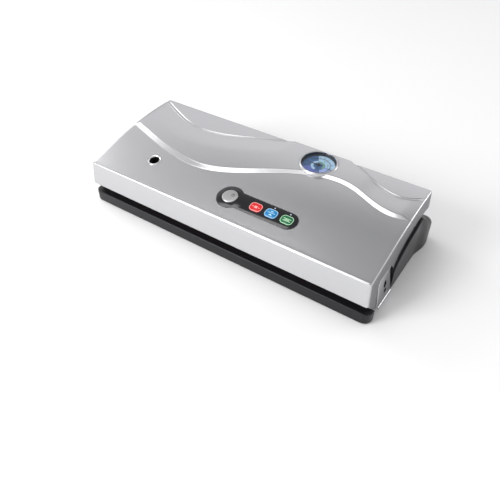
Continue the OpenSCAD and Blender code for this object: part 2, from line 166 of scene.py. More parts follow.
def band(x, y):
    """Height of the raised wave band at (x, y), with the crease behind it.

    It fades out at the lid's ends. Around the gauge it has no bead and does not sink.
    """
    front, stretch = wave(FRONT_WAVE, x)
    ahead = (y - front) / stretch
    back, stretch = wave(BACK_WAVE, x)
    behind = (back - y) / stretch
    fade = max(0.02, smooth((194 - x) / 15)) * smooth((195 + x) / 10)
    rise = BAND_H * step_slope(ahead / step_wide(x) / fade) * step_slope(behind / CREST_WIDE)
    inner = smooth((abs(x - 68) - 52) / 22)
    rise *= 1 - 0.5 * (1 - smooth(behind / SHOULDER)) * inner
    rise += BEAD_H * smooth(1 - abs(behind - CREST_WIDE - 0.5) / 0.9) * inner
    if behind < 0:
        rise -= CREASE_DEEP * smooth(-behind / 0.5) * (1 - smooth((-behind - 1.9) / 1.5))
    return fade * rise


def row_places(x, y0, y1):
    """The rows of the lid's surface mesh at x, packed close along the two wave lines."""
    front, long_f = wave(FRONT_WAVE, x)
    back, long_b = wave(BACK_WAVE, x)
    stops = ((y0, 0), (front - 1, 34), (front + (step_wide(x) + 1) * long_f, 16),
             (back - 8 * long_b, 22), (back - 3.4 * long_b, 4), (back - CREST_WIDE * long_b, 8),
             (back, 6), (back + 4 * long_b, 14), (y1, 14))
    rows = [y0]
    for (start, _), (end, count) in zip(stops, stops[1:]):
        rows += [start + (end - start) * k / count for k in range(1, count + 1)]
    last = len(rows) - 1
    return [min(y, y1 - 0.02 * (last - k)) for k, y in enumerate(rows)]


# ---------------------------------------------------------------- mesh helpers
def obj_from(name, verts, faces, smooth_angle=35):
    """Object from points in millimetres."""
    mesh = bpy.data.meshes.new(name)
    mesh.from_pydata([Vector(v) * MM for v in verts], [], faces)
    return finish_mesh(name, mesh, smooth_angle)


def finish_mesh(name, mesh, smooth_angle=35):
    """Object from a mesh, welded, turned outwards and shaded."""
    bm = bmesh.new()
    bm.from_mesh(mesh)
    bmesh.ops.remove_doubles(bm, verts=bm.verts, dist=1e-6)
    bmesh.ops.recalc_face_normals(bm, faces=bm.faces)
    bm.to_mesh(mesh)
    bm.free()
    made = bpy.data.objects.new(name, mesh)
    bpy.context.scene.collection.objects.link(made)
    mesh.shade_smooth()
    if smooth_angle < 180:
        mesh.set_sharp_from_angle(angle=math.radians(smooth_angle))
    return made


def applied(made, *modifiers):
    """Adds modifiers, given as (type, settings), and applies them to the mesh."""
    for kind, settings in modifiers:
        m = made.modifiers.new(kind, kind)
        for key, value in settings.items():
            setattr(m, key, value)
    bpy.context.view_layer.update()
    deps = bpy.context.evaluated_depsgraph_get()
    mesh = bpy.data.meshes.new_from_object(made.evaluated_get(deps))
    made.modifiers.clear()
    made.data = mesh
    return made


def cut(made, *tools, angle=35):
    """Subtracts closed tools, which are then removed."""
    for tool in tools:
        applied(made, ("BOOLEAN", {"operation": "DIFFERENCE", "object": tool, "solver": "EXACT"}))
        bpy.data.objects.remove(tool)
    return shade(made, angle)


def join(name, *parts):
    """One object from several."""
    bm = bmesh.new()
    for part in parts:
        bm.from_mesh(part.data)
    mesh = bpy.data.meshes.new(name)
    bm.to_mesh(mesh)
    bm.free()
    for part in parts:
        bpy.data.objects.remove(part)
    made = bpy.data.objects.new(name, mesh)
    bpy.context.scene.collection.objects.link(made)
    return made


def slab(name, first, second):
    """Solid between two outlines with the same number of points."""
    n = len(first)
    faces = [tuple(range(n - 1, -1, -1)), tuple(range(n, 2 * n))]
    faces += [(i, (i + 1) % n, n + (i + 1) % n, n + i) for i in range(n)]
    return obj_from(name, first + second, faces, 30)


def bevel(made, width, segments):
    """Rounds the sharp edges of a mesh."""
    applied(made, ("BEVEL", {"width": width * MM, "segments": segments, "limit_method": "ANGLE",
                             "angle_limit": math.radians(40)}))


def shade(made, angle=35):
    """Smooth shading, with edges kept sharp above the angle."""
    made.data.shade_smooth()
    made.data.set_sharp_from_angle(angle=math.radians(angle))
    return made


def prism(name, outline, z0, z1, place=Matrix(), edge=0.0, segments=3):
    """Upright prism of a plan outline between z0 and z1, with rounded edges."""
    made = slab(name, [(x, y, z0) for x, y in outline], [(x, y, z1) for x, y in outline])
    if edge:
        bevel(made, edge, segments)
    made.data.transform(place)
    return shade(made)


def lathe(name, profile, place=Matrix(), steps=96):
    """Closed ring or solid turned about Z from an (r, z) outline."""
    verts, faces = [], []
    n = len(profile)
    for i in range(steps):
        a = 2 * math.pi * i / steps
        verts += [(r * math.cos(a), r * math.sin(a), z) for r, z in profile]
    for i in range(steps):
        j = (i + 1) % steps
        for k in range(n):
            m = (k + 1) % n
            faces.append((i * n + k, j * n + k, j * n + m, i * n + m))
    made = obj_from(name, verts, faces, 30)
    made.data.transform(place)
    return made


def arc(cx, cy, r, a0, a1, n):
    """Points on an arc, angles in degrees."""
    return [(cx + r * math.cos(math.radians(a0 + (a1 - a0) * i / n)),
             cy + r * math.sin(math.radians(a0 + (a1 - a0) * i / n))) for i in range(n + 1)]


def pad_outline(w, d, r, n=8):
    """Rectangle w by d with round corners, centred."""
    out = []
    for sx, sy, a in ((1, -1, -90), (1, 1, 0), (-1, 1, 90), (-1, -1, 180)):
        out += arc(sx * (w / 2 - r), sy * (d / 2 - r), r, a, a + 90, n)
    return out


def on_panel(x, y, lift=0.0):
    """Frame on the control panel's plane, x and y from the round button's middle."""
    return on_slope(0, PANEL_Y) @ Matrix.Translation(Vector((x, y, lift)) * MM)


def keyhole(grow):
    """Outline of the control panel: a disc with a round-ended bar."""
    r, h = 16.5 + grow, 12 + grow
    a = math.degrees(math.asin(h / r))
    return arc(0, 0, r, a, 360 - a, 48) + arc(78, 0, h, -90, 90, 20)


def on_slope(x, y):
    """Frame on the lid's sloping front, origin on its surface."""
    return Matrix.Translation(Vector((x, y, top_z(y))) * MM) @ Matrix.Rotation(SLOPE, 4, "X")


def block(name, low, high):
    """Box-shaped cutting tool."""
    (x0, y0, z0), (x1, y1, z1) = low, high
    return prism(name, [(x0, y0), (x1, y0), (x1, y1), (x0, y1)], z0, z1)


def side_prism(name, outline, x0, x1):
    """Prism of a (y, z) outline between x0 and x1."""
    return slab(name, [(x0, y, z) for y, z in outline], [(x1, y, z) for y, z in outline])


# ---------------------------------------------------------------- materials
def shader(name, color, rough, metal=0.0, vary=0.04, scale=40.0, bump=0.0, bump_scale=900.0,
           rough_vary=0.0, **sockets):
    """Principled material with a noise-driven colour, fine bump and optional rough patches."""
    mat = bpy.data.materials.new(name)
    mat.use_nodes = True
    tree = mat.node_tree
    bsdf = tree.nodes["Principled BSDF"]
    bsdf.inputs["Roughness"].default_value = rough
    bsdf.inputs["Metallic"].default_value = metal
    for key, value in sockets.items():
        bsdf.inputs[key.replace("_", " ")].default_value = value
    coord = tree.nodes.new("ShaderNodeTexCoord")
    noise = tree.nodes.new("ShaderNodeTexNoise")
    noise.inputs["Scale"].default_value = scale
    noise.inputs["Detail"].default_value = 4
    tree.links.new(coord.outputs["Object"], noise.inputs["Vector"])
    ramp = tree.nodes.new("ShaderNodeValToRGB")
    ramp.color_ramp.elements[0].position = 0.3
    ramp.color_ramp.elements[1].position = 0.7
    ramp.color_ramp.elements[0].color = (*[c * (1 - vary) for c in color], 1)
    ramp.color_ramp.elements[1].color = (*[min(1, c * (1 + vary)) for c in color], 1)
    tree.links.new(noise.outputs["Fac"], ramp.inputs["Fac"])
    tree.links.new(ramp.outputs["Color"], bsdf.inputs["Base Color"])
    if rough_vary:
        span = tree.nodes.new("ShaderNodeMapRange")
        span.inputs["To Min"].default_value = max(0.02, rough - rough_vary)
        span.inputs["To Max"].default_value = rough + rough_vary
        tree.links.new(noise.outputs["Fac"], span.inputs["Value"])
        tree.links.new(span.outputs["Result"], bsdf.inputs["Roughness"])
    if bump:
        grain = tree.nodes.new("ShaderNodeTexNoise")
        grain.inputs["Scale"].default_value = bump_scale
        grain.inputs["Detail"].default_value = 3
        tree.links.new(coord.outputs["Object"], grain.inputs["Vector"])
        relief = tree.nodes.new("ShaderNodeBump")
        relief.inputs["Strength"].default_value = bump
        relief.inputs["Distance"].default_value = 0.0004
        tree.links.new(grain.outputs["Fac"], relief.inputs["Height"])
        tree.links.new(relief.outputs["Normal"], bsdf.inputs["Normal"])
    return mat


def brushed(name, color, rough, across=(1, 60, 60)):
    """Metal with fine drawn lines along X."""
    mat = shader(name, color, rough, metal=1.0, vary=0.08, scale=60, rough_vary=0.08)
    tree = mat.node_tree
    coord = next(n for n in tree.nodes if n.type == "TEX_COORD")
    stretch = tree.nodes.new("ShaderNodeMapping")
    stretch.inputs["Scale"].default_value = across
    tree.links.new(coord.outputs["Object"], stretch.inputs["Vector"])
    for noise in [n for n in tree.nodes if n.type == "TEX_NOISE"]:
        tree.links.new(stretch.outputs["Vector"], noise.inputs["Vector"])
    return mat


def cells(name, color, rough, size):
    """Foam or fine cloth: small cells in the bump and the colour."""
    mat = shader(name, color, rough, vary=0.15, scale=220)
    tree = mat.node_tree
    coord = next(n for n in tree.nodes if n.type == "TEX_COORD")
    pores = tree.nodes.new("ShaderNodeTexVoronoi")
    pores.inputs["Scale"].default_value = 1 / (size * MM)
    tree.links.new(coord.outputs["Object"], pores.inputs["Vector"])
    relief = tree.nodes.new("ShaderNodeBump")
    relief.inputs["Strength"].default_value = 0.5
    relief.inputs["Distance"].default_value = 0.0003
    tree.links.new(pores.outputs["Distance"], relief.inputs["Height"])
    tree.links.new(relief.outputs["Normal"], tree.nodes["Principled BSDF"].inputs["Normal"])
    return mat


silver = shader("silver_paint", (0.6, 0.603, 0.615), 0.25, metal=0.9, vary=0.02, scale=900,
                bump=0.04, bump_scale=2600, Specular_Tint=(0.35, 0.35, 0.36, 1))
satin_silver = shader("satin_silver", (0.5, 0.5, 0.5), 0.3, metal=0.9, vary=0.03, scale=700,
                      bump=0.06, bump_scale=2400)
chrome = shader("polished_chrome", (0.8, 0.8, 0.81), 0.08, metal=1.0, vary=0.01, rough_vary=0.03)
black_plastic = shader("black_plastic", (0.011, 0.011, 0.0125), 0.34, vary=0.25, scale=700,
                       bump=0.3, bump_scale=1500, Specular_IOR_Level=0.3)
liner_black = shader("liner_black", (0.016, 0.016, 0.018), 0.5, vary=0.15, scale=500,
                     bump=0.25, bump_scale=1200)
panel_black = shader("panel_black", (0.008, 0.008, 0.01), 0.12, vary=0.1, scale=30,
                     rough_vary=0.03, Coat_Weight=0.6, Coat_Roughness=0.05)
rubber = shader("soft_rubber", (0.014, 0.014, 0.014), 0.75, vary=0.2, scale=400, bump=0.3,
                bump_scale=1800)
foam = cells("grey_foam", (0.045, 0.045, 0.05), 0.85, 0.7)
silicone = shader("red_silicone", (0.38, 0.07, 0.045), 0.6, vary=0.1, scale=150, bump=0.2,
                  bump_scale=900)
tube_clear = shader("milky_tube", (0.62, 0.62, 0.58), 0.35, vary=0.05, scale=120,
                    Subsurface_Weight=0.2)
phenolic = shader("tan_phenolic", (0.42, 0.37, 0.3), 0.6, vary=0.12, scale=260, bump=0.2,
                  bump_scale=1100)
tape = cells("ptfe_cloth", (0.27, 0.17, 0.09), 0.35, 0.5)
steel = brushed("drawn_steel", (0.46, 0.46, 0.47), 0.32)
zinc = brushed("zinc_steel", (0.56, 0.56, 0.57), 0.28, (40, 40, 4))
board_green = shader("board_green", (0.02, 0.13, 0.06), 0.35, vary=0.25, scale=350, bump=0.15,
                     bump_scale=700)
core = brushed("core_laminations", (0.33, 0.27, 0.16), 0.45, (2, 2, 300))
dial_blue = shader("dial_blue", (0.045, 0.13, 0.3), 0.4, vary=0.12, scale=160)
dial_light = shader("dial_light", (0.5, 0.72, 0.9), 0.4, vary=0.06, scale=160)
dial_lilac = shader("dial_lilac", (0.4, 0.5, 0.85), 0.4, vary=0.06, scale=160)
navy = shader("navy", (0.004, 0.006, 0.016), 0.3, vary=0.1, scale=200, Specular_IOR_Level=0.25)
dial_green = shader("dial_green", (0.2, 0.42, 0.3), 0.4, vary=0.08, scale=160)
dial_violet = shader("dial_violet", (0.12, 0.16, 0.5), 0.4, vary=0.08, scale=160)
ink_white = shader("ink_white", (0.75, 0.8, 0.85), 0.35, vary=0.03, scale=200)
ink_black = shader("ink_black", (0.012, 0.012, 0.016), 0.4, vary=0.1, scale=200)
ink_matt = shader("ink_matt", (0.003, 0.003, 0.003), 0.9, vary=0.1, scale=200,
                  Specular_IOR_Level=0.0)
ink_pink = shader("ink_pink", (0.85, 0.42, 0.40), 0.3, vary=0.04, scale=200)
ink_sky = shader("ink_sky", (0.42, 0.68, 0.85), 0.3, vary=0.04, scale=200)
ink_mint = shader("ink_mint", (0.48, 0.75, 0.5), 0.3, vary=0.04, scale=200)
red_gloss = shader("red_gloss", (0.62, 0.015, 0.02), 0.18, vary=0.08, scale=90, Coat_Weight=0.4)
blue_gloss = shader("blue_gloss", (0.02, 0.2, 0.45), 0.18, vary=0.08, scale=90, Coat_Weight=0.4)
green_gloss = shader("green_gloss", (0.012, 0.13, 0.05), 0.18, vary=0.08, scale=90,
                     Coat_Weight=0.4)
needle_red = shader("needle_red", (0.6, 0.03, 0.02), 0.3, vary=0.05, scale=100)
lens_glass = shader("lens_glass", (0.96, 0.98, 1.0), 0.02, vary=0.002, scale=20,
                    Transmission_Weight=1.0, IOR=1.2)
led_clear = shader("led_clear", (0.5, 0.55, 0.62), 0.15, vary=0.04, scale=300,
                   Subsurface_Weight=0.3)


def dress(made, mat, body=None, replaced=()):
    """Gives a piece its material and body, and hides the nodes it stands for."""
    made.data.materials.clear()
    made.data.materials.append(mat)
    if body:
        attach(made, body)
    if replaced:
        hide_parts(*replaced)
    return made


CAD_LOOKS = {
    "base_plastic": black_plastic, "tray_plastic": black_plastic, "screw_steel": zinc,
    "foot_rubber": rubber, "gasket_foam": foam, "heater_bakelite": phenolic,
    "strip_steel": steel, "ptfe": tape, "bracket_steel": steel, "motor_steel": zinc,
    "inner_plastic": liner_black, "tube_silicone": tube_clear, "transformer_core": core,
    "board": board_green, "inlet_plastic": rubber, "lid_silver": silver,
    "liner_plastic": liner_black, "pad_silicone": silicone, "panel_gloss": panel_black,
    "led": led_clear, "dial": dial_blue, "bezel_silver": silver, "lens": lens_glass,
    "ring_chrome": chrome, "bush_rubber": rubber, "button_silver": satin_silver,
    "key_red": red_gloss, "key_blue": blue_gloss, "key_green": green_gloss,
    "needle": needle_red,
}
for part in frame["record"]["subparts"]:
    look = CAD_LOOKS[part["material_slot"]]
    slots = nodes[part["node"]].data.materials
    if not slots:
        slots.append(look)
    for place in range(len(slots)):
        slots[place] = look


# ---------------------------------------------------------------- lid
GAUGE_PLACE = (Matrix.Translation(Vector((*GAUGE_AT, GAUGE_Z)) * MM)
               @ Matrix.Rotation(math.radians(GAUGE_TILT), 4, "X"))


def end_plane(z):
    """Outer face of the lid's end wall at height z."""
    return LID_HALF + (LID_LOW - z) * LEAN


def low_edge(y):
    """Height of the lid's lower edge along its ends."""
    return piecewise(((FRONT_Y, LID_LOW), (-61, EAR_LOW), (-29, EAR_LOW), (-24.5, 35.2),
                      (-17, 41.5), (-9, 46), (0, 48.9), (10, 51.5), (22, 53.8), (34, 55.6),
                      (46, 56.8), (57.5, 56.8), (LOW_BACK_Y, LOW_BACK_Z)), y)


def lid_skin():
    """The silver lid: crowned top with the wave band, filleted rim, drafted walls."""
    nx, rings, walls = 230, 6, 10
    half = RIM_HALF - FILLET_OUT
    y0, y1 = RIM_FRONT + FILLET_OUT, RIM_BACK - FILLET_OUT
    xs = [-half + 2 * half * i / nx for i in range(nx + 1)]
    columns = [row_places(x, y0, y1) for x in xs]
    ny = len(columns[0]) - 1
    verts = [(x, column[j], top_z(column[j]) + band(x, column[j]))
             for j in range(ny + 1) for x, column in zip(xs, columns)]
    w = nx + 1
    faces = [(j * w + i, j * w + i + 1, (j + 1) * w + i + 1, (j + 1) * w + i)
             for j in range(ny) for i in range(nx)]
    fan = 6

    def corner(index, start):
        """The rim's loop round a corner: one vertex, several directions."""
        angles = [math.radians(start + 90 * k / fan) for k in range(1, fan)]
        return [(index, math.cos(a), math.sin(a)) for a in angles]

    # The rim's loop, each place with the direction that it faces in plan
    loop = [(i, 0, -1) for i in range(nx + 1)] + corner(nx, -90)
    loop += [(j * w + nx, 1, 0) for j in range(ny + 1)] + corner(ny * w + nx, 0)
    loop += [(ny * w + i, 0, 1) for i in range(nx, -1, -1)] + corner(ny * w, 90)
    loop += [(j * w, -1, 0) for j in range(ny, -1, -1)] + corner(0, 180)

    def wall_foot(x, y, dx, dy):
        """Where the wall below a rim point ends: its plan place and its height."""
        if dy == 0:
            z = low_edge(y)
            return math.copysign(end_plane(z), dx), y, z
        z = LID_LOW if dy < 0 else LOW_BACK_Z
        edge = end_plane(z) - FILLET_OUT
        if dx == 0:
            return x * edge / half, FRONT_Y if dy < 0 else LOW_BACK_Y, z
        cy = FRONT_Y + FILLET_OUT if dy < 0 else LOW_BACK_Y - FILLET_OUT
        return math.copysign(edge, dx) + FILLET_OUT * dx, cy + FILLET_OUT * dy, z

    first = len(verts)
    m = len(loop)
    heads = []
    for k in range(1, rings + 1):
        a = math.pi / 2 * k / rings
        for index, dx, dy in loop:
            x, y, z = verts[index]
            place = (x + dx * FILLET_OUT * math.sin(a), y + dy * FILLET_OUT * math.sin(a),
                     z - FILLET_DOWN * (1 - math.cos(a)))
            verts.append(place)
            if k == rings:
                heads.append(place)
    for k in range(1, walls + 1):
        for (index, dx, dy), head in zip(loop, heads):
            foot = wall_foot(head[0], head[1], dx, dy)
            verts.append(tuple(a + (b - a) * k / walls for a, b in zip(head, foot)))
    previous = [index for index, _, _ in loop]
    for k in range(rings + walls):
        current = [first + k * m + i for i in range(m)]
        for i in range(m):
            n = (i + 1) % m
            quad = [previous[i], current[i], current[n], previous[n]]
            faces.append(tuple(dict.fromkeys(quad)))
        previous = current
    shell = obj_from("lid_skin", verts, faces, 180)
    bm = bmesh.new()
    bm.from_mesh(shell.data)
    top = max(bm.faces, key=lambda f: f.calc_center_median().z)
    if top.normal.z < 0:
        bmesh.ops.reverse_faces(bm, faces=bm.faces)
    bm.to_mesh(shell.data)
    bm.free()
    applied(shell, ("SOLIDIFY", {"thickness": WALL * MM, "offset": -1, "use_even_offset": False}))
    return shell


def ear_window(sign):
    """Cutting tool for a latch's window and the notch behind it."""
    outline = [(SLOT_Y - 2.0, -5), (SLOT_Y - 2.0, LATCH_Z + 1.7), (-38.2, LATCH_Z + 1.7),
               (-37.6, 50), (-24.5, 35.2), (-22, 26), (-22, -5)]
    lo, hi = sorted((sign * 180, sign * 210))
    return side_prism("tool", outline, lo, hi)


def build_lid():
    """The lid's skin with its openings for the port, gauge, panel and latches."""
    skin = lid_skin()
    port_tool = lathe("tool", [(0.01, -10), (6.3, -10), (6.3, 10), (0.01, 10)],
                      on_slope(*PORT_AT), 48)
    gauge_tool = lathe("tool", [(0.01, -25), (22.8, -25), (22.8, 20), (0.01, 20)], GAUGE_PLACE, 96)
    panel_tool = prism("tool", keyhole(0.25), -8, 6, on_slope(0, PANEL_Y))
    cut(skin, port_tool, gauge_tool, panel_tool, ear_window(1), ear_window(-1), angle=40)
    dress(skin, silver, "lid", ["lid_shell"])


build_lid()


# ---------------------------------------------------------------- controls
def build_panel():
    """The black control panel, its holes and the two indicator lights."""
    plate = prism("panel_plate", keyhole(0), -2.4, 0.6, on_slope(0, PANEL_Y), 0.45)
    tools = [lathe("tool", [(0.01, -9), (9.75, -9), (9.75, 9), (0.01, 9)],
                   on_slope(0, PANEL_Y), 64)]
    for x in KEY_X:
        hole = [(x + px, py) for px, py in pad_outline(16.0, 12.8, 4.8)]
        tools.append(prism("tool", hole, -9, 9, on_slope(0, PANEL_Y)))
    cut(plate, *tools)
    dress(plate, panel_black, "lid", ["control_panel"])
    for i, x in enumerate(KEY_X[1:]):
        dome = [(0.01, -2.0), (0.9, -2.0), (0.9, 0.75), (0.6, 0.95), (0.01, 1.0)]
        lens = lathe(f"indicator_{i + 1}", dome, on_panel(x, 8.8), 24)
        dress(lens, led_clear, "lid", ["indicator_lights"] if i == 0 else ())


def build_start():
    """The round start button with its generic mark."""
    profile = [(0.01, -3.8), (9.4, -3.8), (9.5, 0.9)] + arc(8.5, 1.1, 1.0, 0, 90, 8)
    profile += [(8.5, 2.1), (7.4, 2.15), (4.0, 2.2), (0.01, 2.2)]
    cap = lathe("start_cap", profile, on_slope(0, PANEL_Y), 96)
    dress(cap, satin_silver, "start_button", ["start_button"])
    place = on_panel(3.2, 2.2, 2.1)
    ring = lathe("start_icon", [(1.5, 0), (2.0, 0), (2.0, 0.16), (1.5, 0.16)], place, 40)
    dress(ring, ink_black, "start_button")
    bar = prism("start_icon_bar", [(-0.22, 0.2), (0.22, 0.2), (0.22, 2.3), (-0.22, 2.3)],
                0, 0.18, place)
    dress(bar, ink_black, "start_button")


def icon_outline(kind):
    """Generic marks, as plan outlines in millimetres about the key's middle."""
    if kind == "stop":
        return [[(-1.8, -1.5), (1.8, -1.5), (1.8, 1.5), (-1.8, 1.5)],
                [(-5.0, -0.4), (-2.9, -0.4), (-2.9, 0.4), (-5.0, 0.4)],
                [(2.9, -0.4), (5.0, -0.4), (5.0, 0.4), (2.9, 0.4)]]
    if kind == "vacuum":
        return [[(-4.8, 0.2), (4.8, 0.2), (4.8, 0.9), (-4.8, 0.9)],
                [(-2.2, 3.2), (2.2, 3.2), (0, 1.5)], [(-2.2, -3.0), (2.2, -3.0), (0, -0.6)]]
    return [[(-4.8, 1.1), (4.8, 1.1), (4.8, 1.9), (-4.8, 1.9)],
            [(-4.8, -1.9), (4.8, -1.9), (4.8, -1.1), (-4.8, -1.1)],
            [(-3.2, -0.4), (3.2, -0.4), (3.2, 0.4), (-3.2, 0.4)]]


def build_key(body, node, x, mat, ink, kind):
    """A rounded key with a light outline and a generic mark."""
    place = on_panel(x, 0)
    cap = prism(f"{node}_cap", pad_outline(15.6, 12.4, 4.6), -3.8, 1.15, place, 0.7, 4)
    dress(cap, mat, body, [node])
    outer, inner = pad_outline(14.9, 11.7, 4.3), pad_outline(13.8, 10.6, 3.8)
    n = len(outer)
    verts = [(px, py, z) for z in (KEY_RAISED, 1.24) for ring in (outer, inner) for px, py in ring]
    faces = []
    for i in range(n):
        j = (i + 1) % n
        faces += [(i, j, n + j, n + i), (2 * n + i, 3 * n + i, 3 * n + j, 2 * n + j),
                  (i, 2 * n + i, 2 * n + j, j), (n + i, n + j, 3 * n + j, 3 * n + i)]
    rim = obj_from(f"{node}_outline", verts, faces, 30)
    rim.data.transform(place)
    dress(rim, ink, body)
    for k, outline in enumerate(icon_outline(kind)):
        mark = prism(f"{node}_mark_{k + 1}", outline, KEY_RAISED, 1.25, place)
        dress(mark, ink, body)


build_panel()
build_start()
build_key("stop_key", "key_red", KEY_X[0], red_gloss, ink_pink, "stop")
build_key("vacuum_key", "key_blue", KEY_X[1], blue_gloss, ink_sky, "vacuum")
build_key("seal_key", "key_green", KEY_X[2], green_gloss, ink_mint, "seal")


# ---------------------------------------------------------------- gauge and port
def sector(name, r0, r1, a0, a1, z0, z1, steps=40):
    """Flat ring sector about the gauge's middle."""
    n = max(4, int(steps * abs(a1 - a0) / 360))
    outline = arc(0, 0, r1, a0, a1, n) + arc(0, 0, r0, a1, a0, n)
    return prism(name, outline, z0, z1, GAUGE_PLACE)


def build_gauge():
    """The vacuum gauge: collar, cup, dial with coloured fields and scale, needle, pane."""
    rim = [(22.3, -3.9), (26.0, -3.9), (26.0, 0.0), (25.6, 0.35), (24.9, 0.45), (24.7, 0.9),
           (24.5, 2.2), (24.1, 3.3), (23.5, 4.2), (22.9, 4.7), (22.4, 4.88), (21.9, 4.86),
           (21.55, 4.65), (21.4, 4.3), (21.4, 3.8), (22.3, 3.8)]
    collar = lathe("gauge_collar", rim, GAUGE_PLACE, 160)
    dress(collar, silver, "lid", ["gauge_bezel"])
    cup = lathe("gauge_cup", [(0.01, -9.5), (22.0, -9.5), (22.15, -7), (22.15, 3.75), (21.35, 3.75),
                              (20.1, DIAL_Z - 0.75), (0.01, DIAL_Z - 0.75)], GAUGE_PLACE, 128)
    dress(cup, navy, "lid", ["gauge_body"])
    face = lathe("dial_face", [(1.0, DIAL_Z - 0.7), (19.9, DIAL_Z - 0.7), (19.9, DIAL_Z),
                               (1.0, DIAL_Z)], GAUGE_PLACE, 128)
    dress(face, dial_blue, "lid", ["gauge_dial"])
    fields = ((8.2, 19.8, 2, 118, dial_light, "pale_field"),
              (6.2, 9.4, 118, 262, dial_light, "pale_hook"),
              (5.4, 8.0, -30, 114, dial_green, "green_field"),
              (10.4, 12.0, 8, 84, dial_green, "green_arc"),
              (9.6, 19.8, -150, -62, dial_violet, "violet_field"),
              (8.4, 19.8, -58, -4, dial_lilac, "lilac_field"))
    for r0, r1, a0, a1, mat, name in fields:
        dress(sector(name, r0, r1, a0, a1, DIAL_Z, DIAL_Z + 0.12), mat, "lid")
    dress(sector("scale_arc", 13.7, 14.3, -90, 150, DIAL_Z + 0.1, DIAL_Z + 0.2, 90), ink_black,
          "lid")
    for i in range(13):
        a = -90 + 20 * i
        reach = 17.2 if i % 3 == 0 else 15.8
        dress(sector(f"scale_mark_{i + 1}", 14.3, reach, a - 0.9, a + 0.9, DIAL_Z + 0.1,
                     DIAL_Z + 0.22), ink_black, "lid")
    hand = prism("needle_hand", [(-15.4, -0.25), (-2, -0.8), (4.5, -0.9), (4.5, 0.9), (-2, 0.8),
                                 (-15.4, 0.25)], DIAL_Z + 1.0, DIAL_Z + 1.55, GAUGE_PLACE, 0.12, 2)
    dress(hand, ink_black, "gauge_needle", ["gauge_needle"])
    hub = lathe("needle_hub", [(0.01, DIAL_Z + 0.5), (1.8, DIAL_Z + 0.5), (1.8, DIAL_Z + 1.9),
                              (1.4, DIAL_Z + 2.3), (0.01, DIAL_Z + 2.4)],
                GAUGE_PLACE, 40)
    dress(hub, ink_black, "gauge_needle")
    pane = lathe("gauge_pane", [(0.01, 2.55), (20.8, 2.55), (20.8, 3.1), (15, 3.45), (8, 3.65),
                                (0.01, 3.7)], GAUGE_PLACE, 128)
    dress(pane, lens_glass, "lid", ["gauge_lens"])


def build_port():
    """The hose port: bright countersunk ring around a soft bush."""
    place = on_slope(*PORT_AT)
    ring = [(6.35, -1.2), (8.4, -1.2), (8.4, 0.2)] + arc(7.9, 0.4, 0.5, 0, 90, 6)
    ring += [(7.6, 0.85), (7.1, 0.5), (6.6, -0.3), (6.35, -0.8)]
    lip = lathe("port_lip", ring, place, 128)
    dress(lip, chrome, "lid", ["port_ring"])
    bush = [(2.5, -12), (6.15, -12), (6.15, -0.75), (5.6, -0.6), (4.6, -0.5), (3.6, -0.55),
            (2.8, -0.9), (2.5, -1.5)]
    sleeve = lathe("port_sleeve", bush, place, 96)
    dress(sleeve, ink_matt, "lid", ["port_bush"])


build_gauge()
build_port()


# ---------------------------------------------------------------- latches
def proud_plane(z):
    """Outer face of a latch's plate, standing out a little more towards its lower end."""
    return end_plane(z) + PROUD * (LATCH_Z - z)


def build_latch(side, sign):
    """A latch: plate, pivot roll, lip at the bottom, hook inside and two generic marks."""
    outline = [(SLOT_Y + 0.1, LATCH_Z), (-36.3, LATCH_Z), (-26.6, EAR_LOW + 1), (-27.8, EAR_LOW),
               (-60.4, EAR_LOW), (-61.6, EAR_LOW + 1), (SLOT_Y + 0.1, 7.4)]
    plate = slab("plate", [(sign * (end_plane(z) - 2.15), y, z) for y, z in outline],
                 [(sign * proud_plane(z), y, z) for y, z in outline])
    bevel(plate, 0.5, 3)
    pin_x = end_plane(LATCH_Z) - WALL / 2
    roll = lathe("roll", [(0.8, 0), (1.4, 0), (1.4, 27.2), (0.8, 27.2)],
                 Matrix.Translation(Vector((sign * pin_x, SLOT_Y + 0.2, LATCH_Z)) * MM)
                 @ Matrix.Rotation(-math.pi / 2, 4, "X"), 32)

    def across(name, shape, y0, y1):
        """Solid of an (x, z) shape between y0 and y1."""
        return slab(name, *([(sign * x, y, z) for x, z in shape] for y in (y0, y1)))

    lip = across("lip", [(196.4, 4.05), (199.1, 4.05), (199.55, 4.4), (199.6, 5.0), (199.3, 5.5),
                         (198.8, 5.7), (198.3, 6.2), (197.7, 7.4), (197.3, 9.2), (196.4, 9.2)],
                 -60.2, -27.6)
    nose = across("nose", [(193.35, 10.05), (193.35, 10.95), (196.3, 10.95), (196.3, 6.6)],
                  -51.9, -36.1)
    ear = shade(join(f"latch_ear_{side}", plate, roll, lip, nose))
    dress(ear, silver, f"latch_{side}", [f"latch_{side}"])
    marks = (("arrow", -46.5, [(-2.2, 34), (2.2, 34), (2.2, 28.6), (3.8, 28.6), (0, 23.8),
                               (-3.8, 28.6), (-2.2, 28.6)]),
             ("dot", -44.5, arc(0, 18.6, 2.7, 0, 330, 11)))
    for name, centre, shape in marks:
        mark = slab(f"latch_{name}_{side}",
                    *([(sign * (proud_plane(z) + lift), centre + y, z) for y, z in shape]
                      for lift in (-0.3, 0.12)))
        dress(mark, ink_matt, f"latch_{side}")


build_latch("right", 1)
build_latch("left", -1)


# ---------------------------------------------------------------- base
def base_top(y):
    """Height of the base's top surface at y."""
    if y < LEDGE_BACK:
        return LEDGE_Z
    if y < HUMP_Y:
        return LEDGE_Z + (HUMP_Z - LEDGE_Z) * math.sin(math.pi / 2 * (y - LEDGE_BACK) / HUMP_RUN)
    t = max(0.0, min(1.0, (y - HUMP_Y) / (BASE_BACK - HUMP_Y)))
    return HUMP_FOOT + (HUMP_Z - HUMP_FOOT) * math.sqrt(max(0.0, 1 - t * t))


